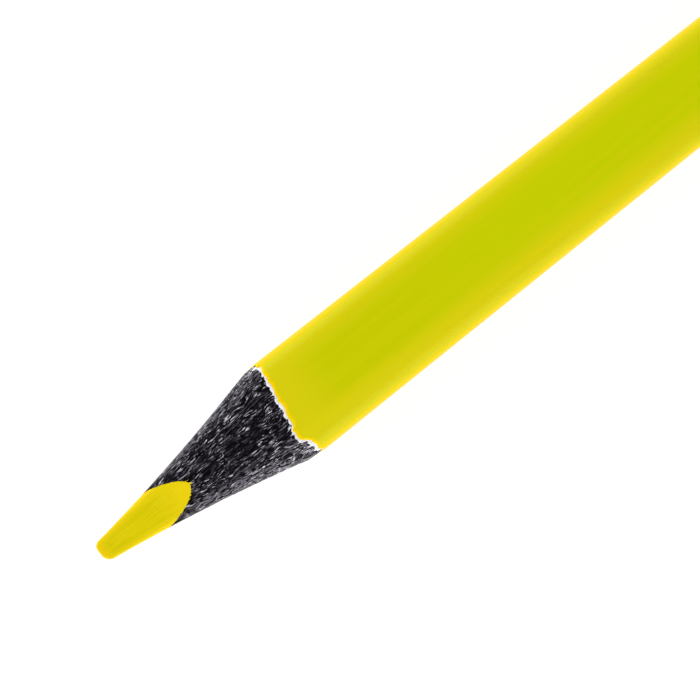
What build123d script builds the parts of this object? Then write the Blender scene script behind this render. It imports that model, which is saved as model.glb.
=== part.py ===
"""Flat carpenter pencil: a flat lead glued between two grooved wooden slats,
lacquered in three layers and sharpened to a blunt four-sided point.

Frame: +X runs along the pencil towards the point, +Y across its width, +Z up.
The pencil lies on one broad face at z = 0 and is centred on X and Y.
All sizes are in millimetres.
"""
import os
from math import cos, radians, sqrt

from build123d import *

# Whole pencil
overall_length = 178.0
barrel_width = 13.0
barrel_thickness = 7.2
barrel_edge_radius = 2.3

# Lacquer layers, from the outside inwards
clear_coat_thickness = 0.08
colour_coat_thickness = 0.12
primer_coat_thickness = 0.08

# Lead and glue
lead_width = 4.9
lead_thickness = 2.92
lead_crown_radius = 7.2
lead_corner_radius = 1.1
groove_glue_thickness = 0.15
seam_glue_thickness = 0.10

# Sharpened point: each half-size is start + rate * d + curve * d**2,
# where d is the distance back from the tip
point_half_width_start = 1.235
point_half_width_rate = 0.129
point_half_width_curve = 0.0021
point_half_thickness_start = 0.36
point_half_thickness_rate = 0.0615
point_half_thickness_curve = 0.00178
point_corner_ratio = 0.72
point_section_spacing = 4.0
point_section_count = 7
point_shape_length = 34.0
tip_corner_radius = 0.9
tip_edge_radius = 0.3
tip_section_count = 5

# Derived places and sizes
butt_x = -overall_length / 2
tip_x = overall_length / 2
mid_height = barrel_thickness / 2
butt_plane = Plane(origin=(butt_x, 0, mid_height), x_dir=(0, 1, 0), z_dir=(1, 0, 0))
primer_depth = clear_coat_thickness + colour_coat_thickness
wood_depth = primer_depth + primer_coat_thickness
wood_width = barrel_width - 2 * wood_depth
wood_thickness = barrel_thickness - 2 * wood_depth


def rounded_off(half_size, radius, distance):
    """A half-size of the point with its corner at the tip rounded to this radius."""
    reach = max(radius - distance, 0)
    return half_size - radius + sqrt(radius**2 - reach**2)


def point_half_width(distance):
    """Half of the point's width at this distance back from the tip."""
    growth = point_half_width_rate + point_half_width_curve * distance
    half_width = point_half_width_start + growth * distance
    return rounded_off(half_width, tip_corner_radius, distance)


def point_half_thickness(distance):
    """Half of the point's thickness at this distance back from the tip."""
    growth = point_half_thickness_rate + point_half_thickness_curve * distance
    half_thickness = point_half_thickness_start + growth * distance
    return rounded_off(half_thickness, tip_edge_radius, distance)


def barrel_outline(depth, mode=Mode.ADD):
    """Rounded outline of the barrel, taken this far below its outer surface."""
    return RectangleRounded(
        barrel_width - 2 * depth,
        barrel_thickness - 2 * depth,
        barrel_edge_radius - depth,
        mode=mode,
    )


def lead_outline(growth=0, mode=Mode.ADD):
    """Flat outline of the lead with crowned faces and rounded corners, grown all round."""
    half_width = lead_width / 2 + growth
    half_thickness = lead_thickness / 2 + growth
    crown_radius = lead_crown_radius + growth
    edge_z = half_thickness - crown_radius + sqrt(crown_radius**2 - half_width**2)
    with BuildSketch(Plane.XY, mode=Mode.PRIVATE) as outline:
        with BuildLine():
            ThreePointArc((-half_width, edge_z), (0, half_thickness), (half_width, edge_z))
            Line((half_width, edge_z), (half_width, -edge_z))
            ThreePointArc((half_width, -edge_z), (0, -half_thickness), (-half_width, -edge_z))
            Line((-half_width, -edge_z), (-half_width, edge_z))
        make_face()
        fillet(outline.vertices(), lead_corner_radius + growth)
    add(outline.sketch, mode=mode)


# Everything that sharpening leaves standing. It is wider than the barrel behind
# the point, and every piece below is cut back to it. The first sections round the
# tip, and the last span is one straight taper, which crosses all the lacquer layers.
section_distances = []
for step in range(tip_section_count):
    turn = radians(90 * step / tip_section_count)
    section_distances.append(tip_corner_radius * (1 - cos(turn)))
for step in range(1, point_section_count):
    section_distances.append(step * point_section_spacing)
section_distances.append(point_shape_length)
with BuildPart() as sharpened_shape:
    for distance in section_distances:
        half_thickness = point_half_thickness(distance)
        section_plane = Plane(
            origin=(tip_x - distance, 0, mid_height), x_dir=(0, 1, 0), z_dir=(-1, 0, 0)
        )
        with BuildSketch(section_plane):
            RectangleRounded(
                2 * point_half_width(distance),
                2 * half_thickness,
                point_corner_ratio * half_thickness,
            )
    loft(ruled=True)
    widest_face = sharpened_shape.faces().sort_by(Axis.X)[0]
    extrude(widest_face, amount=overall_length - point_shape_length)

# Lead: one flat rod from the butt to the tip
with BuildPart() as lead_core:
    with BuildSketch(butt_plane):
        lead_outline()
    extrude(amount=overall_length)
    add(sharpened_shape.part, mode=Mode.INTERSECT)

# Glue that fills the groove around the lead
with BuildPart() as groove_glue:
    with BuildSketch(butt_plane):
        lead_outline(groove_glue_thickness)
        lead_outline(mode=Mode.SUBTRACT)
    extrude(amount=overall_length)
    add(sharpened_shape.part, mode=Mode.INTERSECT)


def make_seam_glue(side):
    """Glue film between the slats, left (side 1) or right (side -1) of the groove."""
    with BuildPart() as seam_glue:
        with BuildSketch(butt_plane):
            with Locations((side * wood_width / 4, 0)):
                Rectangle(wood_width / 2, seam_glue_thickness)
            lead_outline(groove_glue_thickness, mode=Mode.SUBTRACT)
        extrude(amount=overall_length)
        add(sharpened_shape.part, mode=Mode.INTERSECT)
    return seam_glue


def make_slat(side):
    """Grooved half of the wooden case, above (side 1) or below (side -1) the seam."""
    with BuildPart() as slat:
        with BuildSketch(butt_plane):
            barrel_outline(wood_depth)
            lead_outline(groove_glue_thickness, mode=Mode.SUBTRACT)
            with Locations((0, -side * wood_thickness / 2)):
                Rectangle(
                    wood_width, wood_thickness + seam_glue_thickness, mode=Mode.SUBTRACT
                )
        extrude(amount=overall_length)
        add(sharpened_shape.part, mode=Mode.INTERSECT)
    return slat


def make_coat(outer_depth, inner_depth):
    """Lacquer layer around the barrel, between two depths below its surface."""
    with BuildPart() as coat:
        with BuildSketch(butt_plane):
            barrel_outline(outer_depth)
            barrel_outline(inner_depth, mode=Mode.SUBTRACT)
        extrude(amount=overall_length)
        add(sharpened_shape.part, mode=Mode.INTERSECT)
    return coat


left_seam_glue = make_seam_glue(1)
right_seam_glue = make_seam_glue(-1)
upper_slat = make_slat(1)
lower_slat = make_slat(-1)
primer_coat = make_coat(primer_depth, wood_depth)
colour_coat = make_coat(clear_coat_thickness, primer_depth)
clear_coat = make_coat(0, clear_coat_thickness)

# Name and write every piece
pieces = {
    "lead_core": lead_core,
    "groove_glue": groove_glue,
    "left_seam_glue": left_seam_glue,
    "right_seam_glue": right_seam_glue,
    "upper_slat": upper_slat,
    "lower_slat": lower_slat,
    "primer_coat": primer_coat,
    "colour_coat": colour_coat,
    "clear_coat": clear_coat,
}
os.makedirs("parts", exist_ok=True)
for name, piece in pieces.items():
    piece.part.label = name
    export_step(piece.part, f"parts/{name}.step")
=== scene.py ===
"""Looks for the flat carpenter pencil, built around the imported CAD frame.

The pencil lies along X with its point towards +X, +Y across and +Z up. Shapes are
worked out in millimetres from the frame's boxes and written in metres.
A place on the pencil is given by d, the distance back from the tip, and q, the
distance around the barrel's outline, which starts at the middle of the +Y side,
goes up, over the top face, down the -Y side and back along the bottom face.
"""

import math

import bmesh
import bpy
import numpy as np
from mathutils import Matrix, Vector


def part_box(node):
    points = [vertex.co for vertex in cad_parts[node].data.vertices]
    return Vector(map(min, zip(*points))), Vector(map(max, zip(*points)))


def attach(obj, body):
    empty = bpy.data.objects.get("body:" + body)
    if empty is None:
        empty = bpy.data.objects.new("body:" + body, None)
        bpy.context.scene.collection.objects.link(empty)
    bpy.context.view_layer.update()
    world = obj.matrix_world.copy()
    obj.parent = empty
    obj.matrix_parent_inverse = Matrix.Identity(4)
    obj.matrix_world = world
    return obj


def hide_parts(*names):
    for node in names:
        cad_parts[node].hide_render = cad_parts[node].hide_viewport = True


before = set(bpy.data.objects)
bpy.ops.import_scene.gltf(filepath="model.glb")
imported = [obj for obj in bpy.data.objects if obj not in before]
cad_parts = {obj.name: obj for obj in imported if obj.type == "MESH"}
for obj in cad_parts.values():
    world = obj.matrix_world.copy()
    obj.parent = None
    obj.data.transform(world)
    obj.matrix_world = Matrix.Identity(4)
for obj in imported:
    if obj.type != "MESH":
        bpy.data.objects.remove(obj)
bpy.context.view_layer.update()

MM = 0.001

# ---------------------------------------------------------------- sizes, from the frame


def box_mm(node):
    """Lowest and highest corner of a CAD node, in millimetres."""
    low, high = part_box(node)
    return np.array(low) / MM, np.array(high) / MM


def size_mm(node):
    """Length, width and height of a CAD node, in millimetres."""
    low, high = box_mm(node)
    return high - low


BUTT_X = box_mm("lead_core")[0][0]
TIP_X = box_mm("lead_core")[1][0]
LENGTH = TIP_X - BUTT_X
MID_Z = box_mm("clear_coat")[1][2] / 2
HALF_WIDTH = size_mm("clear_coat")[1] / 2
HALF_THICK = size_mm("clear_coat")[2] / 2
EDGE_RADIUS = 2.3  # of the long edges of the lacquered barrel
PRIMER_DEPTH = HALF_WIDTH - size_mm("primer_coat")[1] / 2
WOOD_DEPTH = HALF_WIDTH - size_mm("upper_slat")[1] / 2
LEAD_HALF = size_mm("lead_core")[1:] / 2
GROOVE_GROWTH = size_mm("groove_glue")[1] / 2 - LEAD_HALF[0]
LEAD_CROWN_RADIUS = 7.2  # of the lead's slightly arched broad faces
LEAD_CORNER_RADIUS = 0.75
SEAM_THICK = size_mm("left_seam_glue")[2]
CORE_WIDTH = HALF_WIDTH - WOOD_DEPTH
CORE_THICK = HALF_THICK - WOOD_DEPTH
CORE_RADIUS = EDGE_RADIUS - WOOD_DEPTH

# The sharpened point: half-sizes grow back from the tip as start + rate * d + curve * d**2.
POINT_WIDTH = (1.235, 0.129, 0.0021)
POINT_THICK = (0.36, 0.0615, 0.00178)
CORNER_RATIO = 0.72  # corner radius of the point, as a share of its half-thickness
TIP_CORNERS = (0.75, 1.0)  # rounding of the tip's corners, on the -Y and the +Y side
TIP_ROUND = 0.30  # rounding of the tip's upper and lower edge
TIP_LEAN = -0.25  # how far the tip stands off the middle, across
BARE_SWELL = 0.13  # how far bare wood stands out past the sides of the painted wood

COLUMNS = 400  # points around the sharpened body
COAT_COLUMNS = 720  # points around each coat
FINE_STEP = 0.085  # between the rings along the point
SEED = 7


def growth(terms, d):
    """Half-size of the point at the distance d back from the tip."""
    start, rate, curve = terms
    return start + (rate + curve * d) * d


def growth_reaches(terms, size):
    """The distance back from the tip at which a half-size reaches this size."""
    start, rate, curve = terms
    return (math.sqrt(rate**2 + 4 * curve * (size - start)) - rate) / (2 * curve)


# where the taper runs out into the top face
TOP_EDGE = growth_reaches(POINT_THICK, CORE_THICK)


def nose(size, radius, d):
    """Rounds the last stretch of a half-size down to the tip."""
    reach = np.clip(radius - d, 0, radius)
    return size - radius + np.sqrt(radius**2 - reach**2)


# ---------------------------------------------------------------- noise

LATTICE = 256


def smooth(edge0, edge1, x):
    """0 below edge0, 1 above edge1, smooth between."""
    t = np.clip((x - edge0) / (edge1 - edge0), 0, 1)
    return t * t * (3 - 2 * t)


def noise(x, y, seed):
    """Value noise between -1 and 1 on a unit lattice."""
    table = np.random.default_rng(seed).uniform(-1, 1, (LATTICE, LATTICE))
    x0, y0 = np.floor(x).astype(int), np.floor(y).astype(int)
    fx, fy = x - x0, y - y0
    fx, fy = fx * fx * (3 - 2 * fx), fy * fy * (3 - 2 * fy)
    x1, y1 = (x0 + 1) % LATTICE, (y0 + 1) % LATTICE
    x0, y0 = x0 % LATTICE, y0 % LATTICE
    low = table[x0, y0] * (1 - fx) + table[x1, y0] * fx
    high = table[x0, y1] * (1 - fx) + table[x1, y1] * fx
    return low * (1 - fy) + high * fy


# ---------------------------------------------------------------- outlines

SIDE_FLAT = 2 * (HALF_THICK - EDGE_RADIUS)
TOP_FLAT = 2 * (HALF_WIDTH - EDGE_RADIUS)
CORNER_ARC = EDGE_RADIUS * math.pi / 2
AROUND = 2 * SIDE_FLAT + 2 * TOP_FLAT + 4 * CORNER_ARC


def outline(q, half_w, half_t, radius):
    """Points (y, z) and outward normals of a rounded rectangle at the barrel places q."""
    q, half_w, half_t, radius = np.broadcast_arrays(q, half_w, half_t, radius)
    y, z, ny, nz = (np.zeros(q.shape) for _ in range(4))
    flat_y, flat_z = half_w - radius, half_t - radius
    # each stretch: its length on the barrel, then start and end as (y sign, z sign, angle)
    start = -SIDE_FLAT / 2
    stretches = [
        (SIDE_FLAT, (1, -1), (1, 1), 0, 0),
        (CORNER_ARC, (1, 1), (1, 1), 0, 90),
        (TOP_FLAT, (1, 1), (-1, 1), 90, 90),
        (CORNER_ARC, (-1, 1), (-1, 1), 90, 180),
        (SIDE_FLAT, (-1, 1), (-1, -1), 180, 180),
        (CORNER_ARC, (-1, -1), (-1, -1), 180, 270),
        (TOP_FLAT, (-1, -1), (1, -1), 270, 270),
        (CORNER_ARC, (1, -1), (1, -1), 270, 360),
    ]
    place = np.mod(q + SIDE_FLAT / 2, AROUND) + start
    for length, (y0, z0), (y1, z1), angle0, angle1 in stretches:
        here = (place >= start) & (place < start + length)
        t = np.clip((place - start) / length, 0, 1)
        angle = np.radians(angle0 + (angle1 - angle0) * t)
        cy = flat_y * (y0 + (y1 - y0) * t)
        cz = flat_z * (z0 + (z1 - z0) * t)
        y = np.where(here, cy + radius * np.cos(angle), y)
        z = np.where(here, cz + radius * np.sin(angle), z)
        ny = np.where(here, np.cos(angle), ny)
        nz = np.where(here, np.sin(angle), nz)
        start += length
    return y, z, ny, nz


def barrel_outline(q, depth):
    """The barrel's outline and normals, sunk by this depth."""
    return outline(q, HALF_WIDTH - depth, HALF_THICK - depth, EDGE_RADIUS - depth)


def barrel_y(q):
    """How far across the pencil a place on the barrel lies."""
    return barrel_outline(q, 0)[0]


# ---------------------------------------------------------------- the ragged lacquer edge

# Where the cut edge of the lacquer runs on the top face: across (y) and back from the tip (d)
EDGE_ACROSS = (-6.5, -5.8, -4.7, -3.2, -1.5, 0.0, 1.6, 2.5, 3.2, 4.3, 5.3, 6.5)
EDGE_BACK = (27.4, 27.8, 27.7, 27.3, 27.1, 26.9, 26.7, 26.3, 26.15, 26.6, 27.3, 27.5)
UNDER_EDGE = 27.4
SIDE_EDGES = (28.8, 28.9)  # on the -Y and the +Y side
SIDE_BLEND = 0.25

# Teeth of the two cut edges: length along the edge, height, noise row and seed of each size
PRIMER_TEETH = ((0.75, 0.13, 5, 2), (0.36, 0.19, 9, 3), (0.15, 0.11, 7, 6))
LACQUER_TEETH = ((1.1, 0.14, 2, 4), (0.45, 0.10, 3, 5), (0.15, 0.05, 8, 7))
TEETH_REACH = 0.35

# Width of the white line over most of the edge, what it gains on the +Y side, and its least
WHITE_LINE = 0.30
WHITE_LINE_EXTRA = 0.18
WHITE_LINE_LEAST = 0.05


def teeth(q, sizes):
    """Sum of the teeth of all sizes at the barrel places q."""
    return sum(
        height * noise(q / length, q * 0 + row, SEED + seed) for length, height, row, seed in sizes
    )


def primer_edge(q):
    """Front edge of the white primer at the barrel places q."""
    y, z = barrel_outline(q, 0)[:2]
    top = np.interp(y, EDGE_ACROSS, EDGE_BACK)
    under = UNDER_EDGE + 0.35 * noise(q / 3.1 + 40, q * 0, SEED + 1)
    base = under + (top - under) * smooth(-1.0, 1.0, z)
    side = smooth(HALF_WIDTH - SIDE_BLEND, HALF_WIDTH, np.abs(y))
    side_edge = np.where(y < 0, SIDE_EDGES[0], SIDE_EDGES[1])
    base = base + (side_edge - base) * side
    return base + teeth(q, PRIMER_TEETH)


def primer_edge_base(q):
    """The primer's edge without its fine teeth, for the slope of the wood below it."""
    spread = np.linspace(-TEETH_REACH, TEETH_REACH, 9)
    return np.mean([primer_edge(q + s) for s in spread], axis=0)


def lacquer_edge(q):
    """Front edge of the yellow lacquer, which leaves a ragged white line in front of it."""
    line = WHITE_LINE + WHITE_LINE_EXTRA * smooth(3.4, 5.4, barrel_y(q)) + teeth(q, LACQUER_TEETH)
    return np.maximum(primer_edge_base(q) + line, primer_edge(q) + WHITE_LINE_LEAST)


# ---------------------------------------------------------------- meshes


def make_object(name, points, faces):
    """An object in the scene from points in millimetres."""
    mesh = bpy.data.meshes.new(name)
    mesh.from_pydata((np.asarray(points) * MM).tolist(), [], faces)
    mesh.validate()
    mesh.update()
    piece = bpy.data.objects.new(name, mesh)
    bpy.context.scene.collection.objects.link(piece)
    return piece


def ring_faces(rows, columns):
    """Quads between rings of points, where ring r starts at r * columns."""
    a = np.arange(rows - 1)[:, None] * columns
    here = np.arange(columns)[None, :]
    after = (here + 1) % columns
    quads = np.stack([a + here, a + columns + here, a + columns + after, a + after], axis=-1)
    return quads.reshape(-1, 4).tolist()


def closed_body(name, rings):
    """A closed mesh from rings (rows, columns, 3) that run from the tip to the butt."""
    rows, columns, _ = rings.shape
    faces = ring_faces(rows, columns)
    faces.append(list(range(columns)))
    faces.append(list(range((rows - 1) * columns, rows * columns))[::-1])
    return make_object(name, rings.reshape(-1, 3), faces)


def finish_normals(piece, angle):
    """Smooth shading, with edges sharper than this angle in degrees kept crisp."""
    mesh = piece.data
    mesh.polygons.foreach_set("use_smooth", [True] * len(mesh.polygons))
    mesh.set_sharp_from_angle(angle=math.radians(angle))
    mesh.update()


def cut(piece, tool, operation):
    """Applies one Boolean to the piece: DIFFERENCE or INTERSECT."""
    step = piece.modifiers.new("cut", "BOOLEAN")
    step.operation = operation
    step.solver = "MANIFOLD"
    step.object = tool
    evaluated = piece.evaluated_get(bpy.context.evaluated_depsgraph_get())
    mesh = bpy.data.meshes.new_from_object(evaluated)
    piece.modifiers.remove(step)
    old = piece.data
    piece.data = mesh
    bpy.data.meshes.remove(old)
    mesh.name = piece.name


def drop_crumbs(piece):
    """Keeps only the largest connected part, without loose chips left by the cuts."""
    mesh = bmesh.new()
    mesh.from_mesh(piece.data)
    unseen = set(mesh.verts)
    islands = []
    while unseen:
        island, waiting = set(), [unseen.pop()]
        while waiting:
            vert = waiting.pop()
            island.add(vert)
            near = {edge.other_vert(vert) for edge in vert.link_edges} & unseen
            unseen -= near
            waiting.extend(near)
        islands.append(island)
    largest = max(islands, key=len)
    crumbs = [vert for island in islands if island is not largest for vert in island]
    bmesh.ops.delete(mesh, geom=crumbs, context="VERTS")
    mesh.to_mesh(piece.data)
    mesh.free()


def copy_of(piece, name):
    twin = piece.copy()
    twin.data = piece.data.copy()
    twin.name = name
    twin.data.name = name
    bpy.context.scene.collection.objects.link(twin)
    return twin


# ---------------------------------------------------------------- the sharpened body


def body_rows():
    """Distances back from the tip of the body's rings, fine along the point."""
    round_end = max(TIP_CORNERS)
    tip = round_end * (1 - np.cos(np.linspace(0, math.pi / 2, 15)))
    fine = np.arange(round_end + FINE_STEP, max(SIDE_EDGES) + 1.5, FINE_STEP)
    barrel = np.linspace(max(SIDE_EDGES) + 2.5, LENGTH - 0.5, 24)
    return np.concatenate([tip, fine, barrel])


def point_sizes(d, q):
    """Half-width, half-thickness and corner radius of the sharpened body."""
    shift = (TOP_EDGE - primer_edge_base(q)) * smooth(14.0, 25.0, d)
    half_w = growth(POINT_WIDTH, d)
    half_t = growth(POINT_THICK, d + shift)
    corner = CORNER_RATIO * half_t
    right_corner, left_corner = TIP_CORNERS
    tip_corner = right_corner + (left_corner - right_corner) * smooth(-1.0, 1.0, barrel_y(q))
    half_w = nose(half_w, tip_corner, d)
    half_t = nose(half_t, TIP_ROUND, d)
    corner = np.minimum(corner, 0.98 * half_t)
    bare = 1 - smooth(-0.6, -0.15, d - primer_edge_base(q))
    half_w = np.minimum(half_w, CORE_WIDTH + BARE_SWELL * bare)
    return half_w, np.minimum(half_t, CORE_THICK), np.minimum(corner, CORE_RADIUS)


RIDGE_DEPTH = 0.060
CHIP_DEPTH = 0.120
FIBRE_DEPTH = 0.050
WAVE_DEPTH = 0.040
MIDDLE_DEPTH = 0.05
LEAD_SHARE = 0.20  # how much of the relief is left beside the lead


def wood_relief(d, q):
    """How far the cut wood lies below the ideal taper: grain ridges, torn chips, fine fibres."""
    scale = growth(POINT_WIDTH, d) / HALF_WIDTH
    v = q * (0.35 + 0.65 * scale)
    v = v + 0.30 * noise(d / 3.5, v / 2.0, SEED + 10) + 0.12 * noise(d / 1.1, v / 0.7, SEED + 9)
    ridges = 0.5 + 0.5 * noise(d / 2.2, v / 0.24, SEED + 11)
    torn = noise(d / 0.80, v / 0.17, SEED + 12) + 0.6 * noise(d / 0.34, v / 0.11, SEED + 13)
    patches = smooth(-0.5, 0.3, noise(d / 3.0 + 9, v / 1.5, SEED + 14))
    chips = smooth(0.20, 0.60, torn) * patches
    fibres = 0.5 + 0.5 * noise(d / 0.26, v / 0.09, SEED + 15)
    waves = 0.5 + 0.5 * noise(d / 7.0, v / 2.4, SEED + 16)
    share = LEAD_SHARE + (1 - LEAD_SHARE) * smooth(12.0, 16.5, d)
    depth = RIDGE_DEPTH * ridges + CHIP_DEPTH * chips + FIBRE_DEPTH * fibres + WAVE_DEPTH * waves
    return share * (depth - MIDDLE_DEPTH)


SCRATCH_DEPTH = 0.006
DENT_DEPTH = 0.022


def lead_relief(d, q):
    """Fine scratches along the lead and a slight unevenness from sharpening."""
    scratches = 0.5 + 0.5 * noise(d / 3.5, q / 0.16, SEED + 20)
    dents = 0.5 + 0.5 * noise(d / 1.6, q / 1.5, SEED + 21)
    return SCRATCH_DEPTH * scratches + DENT_DEPTH * dents


def lean(d):
    """How far the point stands off the middle, across the pencil, at this distance back."""
    return TIP_LEAN * np.maximum(1 - d / TOP_EDGE, 0)


def place_rings(d, q, half_w, half_t, corner, depth):
    """Points (rows, columns, 3) of an outline sunk by depth along its normals."""
    y, z, ny, nz = outline(q, half_w, half_t, corner)
    x = TIP_X - np.broadcast_to(d, y.shape)
    return np.stack([x, y - ny * depth, MID_Z + z - nz * depth], axis=-1)


def sharpened_body(name, relief, cap_depth):
    """The whole pencil core, tapered to the point, with its relief on the cut surface."""
    q = (np.arange(COLUMNS) * AROUND / COLUMNS)[None, :]
    d = body_rows()[:, None]
    half_w, half_t, corner = point_sizes(d, q)
    under_paint = smooth(-0.35, 0.05, d - primer_edge(q))
    tip_fade = smooth(0.0, 1.0, d)
    depth = relief(d, q) * (1 - under_paint) * (0.25 + 0.75 * tip_fade)
    rings = place_rings(d, q, half_w, half_t, corner, np.minimum(depth, 0.8 * half_t))
    rings[..., 1] += lean(d)
    return closed_body(name, np.concatenate([rings, butt_rings(q, cap_depth)]))


def butt_rings(q, cap_depth):
    """Rings across the sawn butt, from the rim to near the centre, with saw marks and pores."""
    rings = []
    rim_y, rim_z, _, _ = outline(q[0], CORE_WIDTH, CORE_THICK, CORE_RADIUS)
    for share in np.linspace(1.0, 0.02, 34):
        y, z = rim_y * share, rim_z * share
        saw = 0.5 + 0.5 * noise((y + 0.4 * z) / 0.45 + 30, z / 2.5 + 30, SEED + 30)
        pores = 0.5 + 0.5 * noise(y / 0.16 + 60, z / 0.16 + 60, SEED + 31)
        sunk = cap_depth * (0.6 * saw + 0.4 * pores)
        rings.append(np.stack([BUTT_X + sunk, y, MID_Z + z], axis=-1))
    return np.array(rings)


ROD_OVERHANG = 2.0


def lead_rod_shape(name, growth_all_round):
    """The flat lead with its crowned faces and rounded corners, as a rod past both ends."""
    half_y, half_z = LEAD_HALF + growth_all_round
    crown = LEAD_CROWN_RADIUS + growth_all_round
    corner = LEAD_CORNER_RADIUS + growth_all_round
    crown_centre = half_z - crown
    corner_y = half_y - corner
    corner_z = crown_centre + math.sqrt((crown - corner) ** 2 - corner_y**2)
    meet = math.atan2(corner_z - crown_centre, corner_y)
    on_corner = np.linspace(0, meet, 24)[:-1]
    on_crown = np.linspace(meet, math.pi / 2, 90)
    y = np.concatenate([corner_y + corner * np.cos(on_corner), crown * np.cos(on_crown)])
    z_corner = corner_z + corner * np.sin(on_corner)
    z = np.concatenate([z_corner, crown_centre + crown * np.sin(on_crown)])
    # mirrored to the other side, then turned round for the lower half
    y, z = np.concatenate([y, -y[-2::-1]]), np.concatenate([z, z[-2::-1]])
    y, z = np.concatenate([y, -y]), np.concatenate([z, -z])
    rings = []
    for d in (-ROD_OVERHANG, TOP_EDGE, LENGTH + ROD_OVERHANG):
        rings.append(np.stack([y * 0 + TIP_X - d, y + lean(d), MID_Z + z], axis=-1))
    return closed_body(name, np.array(rings))


def block(name, low, high):
    """Straight-sided cutting block between two corners."""
    (x0, y0, z0), (x1, y1, z1) = low, high
    ring = [(y0, z0), (y1, z0), (y1, z1), (y0, z1)]
    rings = [[(x, y, z) for y, z in ring] for x in (x1, x0)]
    return closed_body(name, np.array(rings, float))


# ---------------------------------------------------------------- the lacquer layers


PRIMER_BEVEL = 0.10
LACQUER_BEVEL = 0.22
BUTT_ROUND = 0.04


def coat_shell(name, outer_depth, inner_depth, edge, bevel):
    """Closed tube of lacquer with a ragged, bevelled front edge and a square butt."""
    q = np.arange(COAT_COLUMNS) * AROUND / COAT_COLUMNS
    front = edge(q)
    ripple = 0.5 + 0.5 * noise(q / 0.5, q * 0 + 1, SEED + 40)
    thick = inner_depth - outer_depth
    rings, behind_edge = [], []

    def add_ring(d, depth):
        y, z, _, _ = barrel_outline(q, depth)
        rings.append(np.stack([TIP_X - d, y, MID_Z + z], axis=-1))
        behind_edge.append(d - front)

    # inner surface, from the butt to the front
    for share in (0.0, 0.25, 0.5, 0.75, 0.9, 0.97, 1.0):
        add_ring(LENGTH + (front - LENGTH) * share, q * 0 + inner_depth)
    # bevelled rim, slightly bulged
    for step in np.linspace(0.12, 1.0, 7):
        rise = inner_depth - thick * np.sqrt(step) * (1 - 0.12 * ripple * (1 - step))
        add_ring(front + bevel * step * (0.7 + 0.6 * ripple), rise)
    # outer surface, from the rim back to the butt
    rim = front + bevel * (0.7 + 0.6 * ripple)
    for gap in (0.1, 0.25, 0.5, 0.9, 1.5, 2.5):
        add_ring(rim + gap, q * 0 + outer_depth)
    last = rim + 2.5
    for share in np.linspace(0.04, 0.96, 24):
        add_ring(last + (LENGTH - last) * share, q * 0 + outer_depth)
    # square butt, joined to the inner surface
    add_ring(q * 0 + LENGTH - BUTT_ROUND, q * 0 + outer_depth)
    add_ring(q * 0 + LENGTH, q * 0 + outer_depth + BUTT_ROUND)
    rings = np.array(rings)
    rows = len(rings)
    faces = ring_faces(rows, COAT_COLUMNS)
    last_row, here = (rows - 1) * COAT_COLUMNS, np.arange(COAT_COLUMNS)
    after = (here + 1) % COAT_COLUMNS
    end = np.stack([last_row + here, here, after, last_row + after], axis=-1)
    piece = make_object(name, rings.reshape(-1, 3), faces + end.tolist())
    gap = piece.data.attributes.new("behind_edge", "FLOAT", "POINT")
    gap.data.foreach_set("value", np.concatenate(behind_edge))
    return piece


# ---------------------------------------------------------------- pieces

WOOD_CAP_DEPTH = 0.05
LEAD_CAP_DEPTH = 0.02
WIDE = 20.0  # how far the cutting blocks reach past the pencil

lead_rod = lead_rod_shape("lead_rod", 0.0)
groove_rod = lead_rod_shape("groove_rod", GROOVE_GROWTH)
rough_body = sharpened_body("rough_body", wood_relief, WOOD_CAP_DEPTH)
smooth_body = sharpened_body("smooth_body", lead_relief, LEAD_CAP_DEPTH)

SEAM_TOP = MID_Z + SEAM_THICK / 2
SEAM_BOTTOM = MID_Z - SEAM_THICK / 2
above_seam = block("above_seam", (BUTT_X - WIDE, -WIDE, SEAM_TOP), (TIP_X + WIDE, WIDE, WIDE))
below_seam = block("below_seam", (BUTT_X - WIDE, -WIDE, -WIDE), (TIP_X + WIDE, WIDE, SEAM_BOTTOM))
left_seam = block("left_seam", (BUTT_X - WIDE, 0, SEAM_BOTTOM), (TIP_X + WIDE, WIDE, SEAM_TOP))
right_seam = block("right_seam", (BUTT_X - WIDE, -WIDE, SEAM_BOTTOM), (TIP_X + WIDE, 0, SEAM_TOP))

lead = copy_of(smooth_body, "yellow_lead")
cut(lead, lead_rod, "INTERSECT")

groove_glue = copy_of(rough_body, "glue_around_lead")
cut(groove_glue, groove_rod, "INTERSECT")
cut(groove_glue, lead_rod, "DIFFERENCE")

case = copy_of(rough_body, "case")
cut(case, groove_rod, "DIFFERENCE")
upper_slat = copy_of(case, "upper_wood_slat")
cut(upper_slat, above_seam, "INTERSECT")
lower_slat = copy_of(case, "lower_wood_slat")
cut(lower_slat, below_seam, "INTERSECT")
left_glue = copy_of(case, "left_glue_line")
cut(left_glue, left_seam, "INTERSECT")
right_glue = copy_of(case, "right_glue_line")
cut(right_glue, right_seam, "INTERSECT")

primer = coat_shell("white_primer", PRIMER_DEPTH, WOOD_DEPTH, primer_edge, PRIMER_BEVEL)
lacquer = coat_shell("yellow_lacquer", 0.0, PRIMER_DEPTH, lacquer_edge, LACQUER_BEVEL)

bodies = (rough_body, smooth_body, case)
cutters = (lead_rod, groove_rod, above_seam, below_seam, left_seam, right_seam)
for helper in bodies + cutters:
    bpy.data.objects.remove(helper)

# ---------------------------------------------------------------- materials


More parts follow.
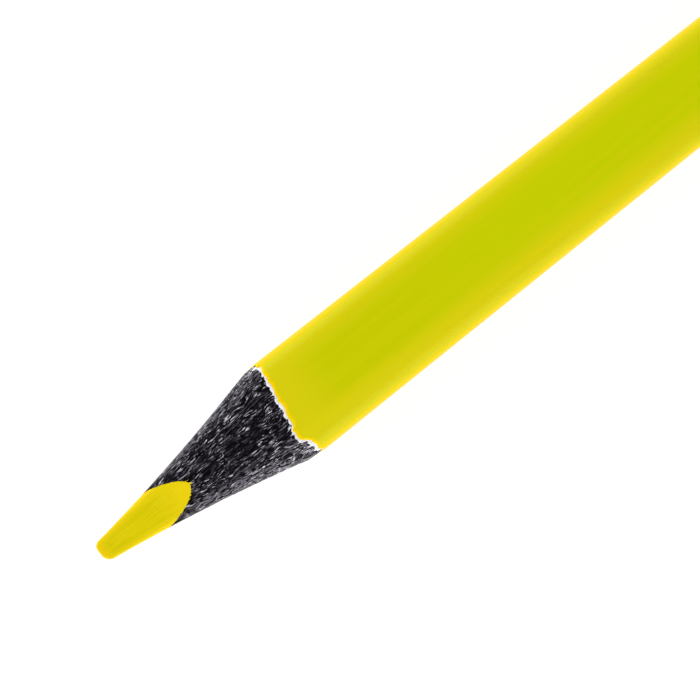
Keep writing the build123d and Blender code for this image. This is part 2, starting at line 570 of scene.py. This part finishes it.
class Nodes:
    """Short names for building one material's node tree."""

    def __init__(self, name):
        self.material = bpy.data.materials.new(name)
        self.material.use_nodes = True
        self.tree = self.material.node_tree
        self.shader = self.tree.nodes["Principled BSDF"]
        place = self.tree.nodes.new("ShaderNodeTexCoord")
        self.position = self.math_vector("MULTIPLY", place.outputs["Object"], (1 / MM,) * 3)
        split = self.tree.nodes.new("ShaderNodeSeparateXYZ")
        self.tree.links.new(self.position, split.inputs[0])
        self.x, self.y, self.z = split.outputs
        self.back = self.math("SUBTRACT", TIP_X, self.x)

    def link(self, source, target):
        self.tree.links.new(source, target)

    def feed(self, socket, value):
        """Links another node's output to the socket, or sets the socket to a plain value."""
        if isinstance(value, bpy.types.NodeSocket):
            self.link(value, socket)
        else:
            socket.default_value = value

    def math_vector(self, operation, first, second):
        node = self.tree.nodes.new("ShaderNodeVectorMath")
        node.operation = operation
        self.feed(node.inputs[0], first)
        self.feed(node.inputs[1], second)
        return node.outputs[0]

    def math(self, operation, first, second=0.0, third=0.0):
        node = self.tree.nodes.new("ShaderNodeMath")
        node.operation = operation
        for socket, value in zip(node.inputs, (first, second, third)):
            self.feed(socket, value)
        return node.outputs[0]

    def noise(self, lengths, detail=2.0, rough=0.5, offset=0.0):
        """Noise from 0 to 1 with this feature length along x, y and z in millimetres."""
        per_mm = tuple(1 / length for length in lengths)
        scaled = self.math_vector("MULTIPLY", self.position, per_mm)
        moved = self.math_vector("ADD", scaled, (offset, offset * 0.7, offset * 1.3))
        node = self.tree.nodes.new("ShaderNodeTexNoise")
        node.inputs["Scale"].default_value = 1.0
        node.inputs["Detail"].default_value = detail
        node.inputs["Roughness"].default_value = rough
        self.link(moved, node.inputs["Vector"])
        return node.outputs[0]

    def growth(self, terms):
        """Half-size of the point at the shaded place."""
        start, rate, curve = terms
        slope = self.math("MULTIPLY_ADD", self.back, curve, rate)
        return self.math("MULTIPLY_ADD", self.back, slope, start)

    def follow_cut(self, reach, drift):
        """Makes the later noises run along the tapering cut, moved across by drift."""
        thick = self.math("MINIMUM", self.growth(POINT_THICK), CORE_THICK)
        spread = self.math("DIVIDE", 0.6 * CORE_WIDTH, reach)
        spread = self.math("ADD", spread, 0.4)
        lift = self.math("DIVIDE", CORE_THICK, thick)
        rise = self.math("SUBTRACT", self.z, MID_Z)
        place = self.tree.nodes.new("ShaderNodeCombineXYZ")
        self.feed(place.inputs[0], self.x)
        self.feed(place.inputs[1], self.math("MULTIPLY_ADD", self.y, spread, drift))
        self.feed(place.inputs[2], self.math("MULTIPLY", rise, lift))
        self.position = place.outputs[0]

    def attribute(self, name):
        """A number stored on the mesh's points."""
        node = self.tree.nodes.new("ShaderNodeAttribute")
        node.attribute_name = name
        return node.outputs["Fac"]

    def ramp(self, value, low, high):
        """0 below low, 1 above high, smooth between."""
        node = self.tree.nodes.new("ShaderNodeMapRange")
        node.interpolation_type = "SMOOTHSTEP"
        self.feed(node.inputs[0], value)
        node.inputs[1].default_value = low
        node.inputs[2].default_value = high
        return node.outputs[0]

    def scale(self, value, low, high):
        """Maps 0..1 to low..high."""
        return self.math("MULTIPLY_ADD", value, high - low, low)

    def mix(self, share, first, second):
        """Colour that goes from the first to the second as share goes from 0 to 1."""
        node = self.tree.nodes.new("ShaderNodeMix")
        node.data_type = "RGBA"
        self.feed(node.inputs[0], share)
        for socket, colour in ((node.inputs[6], first), (node.inputs[7], second)):
            self.feed(socket, (*colour, 1.0) if isinstance(colour, tuple) else colour)
        return node.outputs[2]

    def inverse_ramp(self, value, low, high):
        """1 below low, 0 above high, smooth between."""
        return self.math("SUBTRACT", 1.0, self.ramp(value, low, high))

    def paint(self, share, strength, colour, over):
        """Lays a colour over another one where share is high, at most at this strength."""
        return self.mix(self.math("MULTIPLY", share, strength), over, colour)

    def bump(self, height, distance_mm):
        """Fine relief on the surface from a height of 0 to 1."""
        node = self.tree.nodes.new("ShaderNodeBump")
        node.inputs["Strength"].default_value = 1.0
        node.inputs["Distance"].default_value = distance_mm * MM
        self.link(height, node.inputs["Height"])
        self.link(node.outputs[0], self.shader.inputs["Normal"])

    def set(self, **values):
        """Sets the shader's inputs by name, with _ for a space."""
        for name, value in values.items():
            self.feed(self.shader.inputs[name.replace("_", " ")], value)


def lacquer_material():
    """Fluorescent lacquer: yellow-green on the flats, warmer and yellower round the edges as a
    painted highlight.
    """
    n = Nodes("yellow_lacquer")
    off_middle = n.math("ABSOLUTE", n.math("ADD", n.y, 0.55))
    wobble = n.noise((26.0, 1.6, 1.6), 2.0)
    across = n.math("ADD", off_middle, n.scale(wobble, -0.5, 0.5))
    streaks = n.noise((34.0, 0.8, 0.8), 3.0, 0.55, 3.0)
    behind_line = n.ramp(n.back, TOP_EDGE + 1.5, TOP_EDGE + 9.0)
    green = n.mix(behind_line, (0.740, 0.650, 0.006), (0.612, 0.630, 0.001))
    green = n.mix(n.ramp(n.back, 35.0, 75.0), green, (0.600, 0.665, 0.0006))
    body = n.paint(n.ramp(streaks, 0.40, 0.75), 0.6, (0.670, 0.660, 0.004), over=green)
    # Painted highlight: the lacquer is coloured warmer and yellower away from the middle of the
    # top face, towards the rounded edges.
    warm_highlight = n.mix(n.ramp(streaks, 0.3, 0.7), (0.790, 0.680, 0.006), (0.730, 0.670, 0.008))
    colour = n.mix(n.ramp(across, 2.0, 5.2), body, warm_highlight)
    border = n.ramp(n.math("ABSOLUTE", n.y), 5.6, 6.3)
    colour = n.paint(border, 0.85, (0.880, 0.610, 0.002), over=colour)
    # Painted shade: the narrow side faces, which the soft boxes light strongly, are coloured
    # darker and more orange.
    height = n.math("ABSOLUTE", n.math("SUBTRACT", n.z, MID_Z))
    shaded_side_faces = n.inverse_ramp(height, 1.0, 2.5)
    colour = n.paint(shaded_side_faces, 0.85, (0.560, 0.455, 0.002), over=colour)
    ragged = n.noise((0.5, 0.25, 0.25), 2.0, 0.5, 22.0)
    gap = n.math("MULTIPLY_ADD", ragged, 0.5, n.attribute("behind_edge"))
    cut_rim = n.inverse_ramp(gap, 0.48, 0.80)
    colour = n.paint(cut_rim, 0.9, (0.98, 0.68, 0.0), over=colour)
    specks = n.ramp(n.noise((0.35, 0.16, 0.16), 1.0, 0.5, 11.0), 0.79, 0.83)
    colour = n.paint(specks, 0.55, (0.30, 0.28, 0.02), over=colour)
    n.set(Base_Color=colour, Roughness=n.scale(streaks, 0.14, 0.28))
    n.set(Specular_IOR_Level=0.05)
    dust = n.noise((1.4, 0.8, 0.8), 2.0, 0.5, 5.0)
    waves = n.math("MULTIPLY_ADD", n.noise((9.0, 2.6, 2.6), 1.0, 0.5, 8.0), 3.0, dust)
    n.bump(waves, 0.010)
    return n.material


def lead_material():
    """Waxy yellow lead with fine scratches along the cut, lighter and warmer towards its sides and
    tip as a painted highlight.
    """
    n = Nodes("yellow_lead")
    reach = n.growth(POINT_WIDTH)
    off_middle = n.math("ABSOLUTE", n.math("ADD", n.y, -0.6 * TIP_LEAN))
    share = n.math("DIVIDE", off_middle, n.math("MINIMUM", reach, LEAD_HALF[0]))
    n.follow_cut(reach, 0.0)
    streaks = n.noise((7.0, 0.18, 0.40), 3.0, 0.6, 1.0)
    clouds = n.noise((3.0, 1.1, 1.1), 2.0, 0.5, 4.0)
    tip = n.inverse_ramp(n.back, 0.1, 1.4)
    # Painted highlight: the lead is coloured lighter and warmer towards its sides and its rounded
    # tip, and warmer further back along the point.
    warm_highlight = n.math("MAXIMUM", n.ramp(share, 0.40, 1.0), n.ramp(n.back, 7.0, 12.5))
    warm_highlight = n.math("MAXIMUM", warm_highlight, tip)
    body = n.mix(n.ramp(streaks, 0.38, 0.62), (0.690, 0.585, 0.0008), (0.800, 0.660, 0.003))
    colour = n.paint(warm_highlight, 0.85, (0.930, 0.700, 0.006), over=body)
    on_point = n.inverse_ramp(n.back, 20.0, 24.0)
    side_rim = n.math("MULTIPLY", n.ramp(share, 0.86, 1.0), on_point)
    rim = n.math("MAXIMUM", side_rim, n.math("MULTIPLY", tip, 0.6))
    colour = n.paint(rim, 0.7, (0.900, 0.560, 0.001), over=colour)
    colour = n.paint(n.ramp(clouds, 0.5, 0.75), 0.3, (0.880, 0.710, 0.010), over=colour)
    n.set(Base_Color=colour, Roughness=n.scale(streaks, 0.38, 0.58))
    n.set(Specular_IOR_Level=0.05)
    n.bump(streaks, 0.02)
    return n.material


def wood_material(name):
    """Wood dyed black: dark grain, greyish torn fibres, small pale flecks painted as glints, and
    painted sheen towards the sides.
    """
    n = Nodes(name)
    reach = n.math("MINIMUM", n.growth(POINT_WIDTH), CORE_WIDTH)
    off_middle = n.math("ABSOLUTE", n.math("ADD", n.y, 0.45))
    # Painted sheen: the cut wood is coloured lighter towards its sides, where it turns away, with
    # pale grain lines, more torn fibres and more flecks gathered there.
    side = n.ramp(n.math("DIVIDE", off_middle, reach), 0.58, 0.98)
    side = n.math("MULTIPLY", side, n.ramp(n.back, 8.5, 13.5))
    drift = n.scale(n.noise((2.6, 1.3, 1.3), 1.0, 0.5, 25.0), -0.60, 0.60)
    n.follow_cut(reach, drift)
    grain = n.noise((3.0, 0.26, 0.40), 2.0, 0.5, 2.0)
    patches = n.noise((2.6, 1.1, 1.1), 2.0, 0.5, 9.0)
    fibres = n.noise((1.60, 0.15, 0.32), 1.0, 0.5, 6.0)
    flecks = n.noise((1.10, 0.14, 0.30), 1.0, 0.5, 14.0)
    lines = n.noise((4.0, 0.17, 0.35), 1.0, 0.5, 19.0)
    gaps = n.noise((0.90, 0.22, 0.35), 1.0, 0.5, 31.0)
    grit = n.noise((0.70, 0.18, 0.30), 0.0, 0.5, 37.0)
    colour = n.mix(n.ramp(grain, 0.44, 0.60), (0.0016, 0.0011, 0.0022), (0.013, 0.011, 0.016))
    # Pale grain lines painted only towards the sides, as painted sheen.
    combed_sheen = n.math("MULTIPLY", n.ramp(lines, 0.42, 0.47), side)
    colour = n.paint(combed_sheen, 0.9, (0.250, 0.232, 0.272), over=colour)
    patches_and_sheen = n.math("MAXIMUM", n.ramp(patches, 0.36, 0.58), side)
    torn = n.math("MULTIPLY", n.ramp(fibres, 0.538, 0.556), n.scale(patches_and_sheen, 0.35, 1.0))
    colour = n.paint(torn, 0.9, (0.145, 0.132, 0.160), over=colour)
    # Painted glints: small near-white flecks stand in for glints of light on the cut wood's
    # facets; they gather towards the sides with the painted sheen.
    pale = n.math("MULTIPLY", n.ramp(flecks, 0.622, 0.640), patches_and_sheen)
    colour = n.paint(pale, 0.95, (0.80, 0.78, 0.86), over=colour)
    pits = n.math("MAXIMUM", n.ramp(gaps, 0.555, 0.585), n.ramp(grit, 0.58, 0.61))
    colour = n.paint(pits, 0.95, (0.002, 0.0013, 0.003), over=colour)
    n.set(Base_Color=colour, Roughness=n.scale(grain, 0.28, 0.50))
    n.set(Specular_IOR_Level=0.045)
    n.bump(n.math("ADD", fibres, grit), 0.05)
    return n.material


def primer_material():
    """Matt white undercoat, a little greyed where it is thin."""
    n = Nodes("white_primer")
    mottle = n.noise((0.5, 0.3, 0.3), 3.0)
    colour = n.mix(n.ramp(mottle, 0.35, 0.75), (0.93, 0.93, 0.97), (0.74, 0.75, 0.82))
    n.set(Base_Color=colour, Roughness=n.scale(mottle, 0.55, 0.75))
    n.bump(mottle, 0.02)
    return n.material


FLOOR_GLOW = 0.80


def floor_material():
    """Plain pale floor that glows enough to come out white."""
    n = Nodes("white_floor")
    mottle = n.noise((40.0, 40.0, 40.0), 1.0)
    colour = n.mix(mottle, (0.36, 0.36, 0.36), (0.40, 0.40, 0.40))
    n.set(Base_Color=colour, Roughness=0.9, Specular_IOR_Level=0.1)
    n.set(Emission_Color=(1.0, 1.0, 1.0, 1.0), Emission_Strength=FLOOR_GLOW)
    return n.material


black_wood = wood_material("black_wood")
dark_glue = wood_material("dark_glue")
# each piece with its material, slot, crisp edge angle and the CAD nodes that it replaces
looks = (
    (lead, lead_material(), "lead", 25, ("lead_core",)),
    (upper_slat, black_wood, "wood", 50, ("upper_slat",)),
    (lower_slat, black_wood, "wood", 50, ("lower_slat",)),
    (groove_glue, dark_glue, "glue", 50, ("groove_glue",)),
    (left_glue, dark_glue, "glue", 50, ("left_seam_glue",)),
    (right_glue, dark_glue, "glue", 50, ("right_seam_glue",)),
    (primer, primer_material(), "primer", 40, ("primer_coat",)),
    (lacquer, lacquer_material(), "colour", 40, ("colour_coat", "clear_coat")),
)
for piece, material, slot, angle, nodes in looks:
    drop_crumbs(piece)
    piece.data.materials.clear()
    piece.data.materials.append(material)
    finish_normals(piece, angle)
    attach(piece, "root")
    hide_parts(*nodes)

# ---------------------------------------------------------------- floor, light and camera

FLOOR_HALF = 2000.0

# Soft boxes: place and size in millimetres, and power in watts
SOFT_BOXES = {"left_soft_box": (80, 420, 260), "right_soft_box": (80, -420, 260)}
SOFT_BOX_SIZE = (700, 420)
SOFT_BOX_POWER = 1.8

# The world is bright round the horizon and nearly dark overhead, where the barrel's gloss looks
SKY_HEIGHTS = (0.30, 0.92)
SKY_STRENGTHS = (0.95, 0.02)

# The camera looks down on the top face, tilted towards the tip, with the pencil lying aslant
CAMERA_AIM = (TIP_X - 39.7, -0.83, MID_Z)
CAMERA_DISTANCE = 355.0
CAMERA_TILT = math.radians(22.0)
CAMERA_SLANT = math.radians(38.35)
CAMERA_SENSOR = 36.0
CAMERA_LENS = 153.1


def make_floor():
    half = FLOOR_HALF
    corners = [(-half, -half, 0), (half, -half, 0), (half, half, 0), (-half, half, 0)]
    floor = make_object("floor", corners, [[0, 1, 2, 3]])
    floor.data.materials.append(floor_material())


def make_soft_box(name, place):
    """Soft box at a place in millimetres, facing the pencil's middle."""
    data = bpy.data.lights.new(name, "AREA")
    data.shape = "RECTANGLE"
    data.size, data.size_y = SOFT_BOX_SIZE[0] * MM, SOFT_BOX_SIZE[1] * MM
    data.energy = SOFT_BOX_POWER
    light = bpy.data.objects.new(name, data)
    light.location = Vector(place) * MM
    light.rotation_euler = (-light.location).to_track_quat("-Z", "Y").to_euler()
    bpy.context.scene.collection.objects.link(light)


def make_world():
    """White studio that surrounds the pencil."""
    world = bpy.data.worlds.new("studio")
    world.use_nodes = True
    tree = world.node_tree
    place = tree.nodes.new("ShaderNodeTexCoord")
    split = tree.nodes.new("ShaderNodeSeparateXYZ")
    height = tree.nodes.new("ShaderNodeMapRange")
    height.interpolation_type = "SMOOTHSTEP"
    tree.links.new(place.outputs["Generated"], split.inputs[0])
    tree.links.new(split.outputs[2], height.inputs[0])
    for socket, value in zip(height.inputs[1:5], SKY_HEIGHTS + SKY_STRENGTHS):
        socket.default_value = value
    sky = tree.nodes["Background"]
    sky.inputs["Color"].default_value = (1.0, 1.0, 1.0, 1.0)
    tree.links.new(height.outputs[0], sky.inputs["Strength"])
    bpy.context.scene.world = world


def make_camera():
    """Close view of the point: the tip low on the left, the barrel to the upper right."""
    aim = Vector(CAMERA_AIM) * MM
    toward = Vector((math.sin(CAMERA_TILT), 0, math.cos(CAMERA_TILT)))
    along = Vector((math.cos(CAMERA_TILT), 0, -math.sin(CAMERA_TILT)))
    across = Vector((0, 1, 0))
    right = across * math.sin(CAMERA_SLANT) - along * math.cos(CAMERA_SLANT)
    up = -along * math.sin(CAMERA_SLANT) - across * math.cos(CAMERA_SLANT)
    axes = Matrix((right, up, toward)).transposed().to_4x4()
    data = bpy.data.cameras.new("camera")
    data.sensor_width = CAMERA_SENSOR
    data.lens = CAMERA_LENS
    data.clip_start = 0.01
    data.clip_end = 20.0
    camera = bpy.data.objects.new("camera", data)
    camera.matrix_world = Matrix.Translation(aim + toward * CAMERA_DISTANCE * MM) @ axes
    bpy.context.scene.collection.objects.link(camera)
    bpy.context.scene.camera = camera


make_floor()
make_world()
for name, place in SOFT_BOXES.items():
    make_soft_box(name, place)
make_camera()
view = bpy.context.scene.view_settings
view.view_transform = "Standard"
view.look = "None"

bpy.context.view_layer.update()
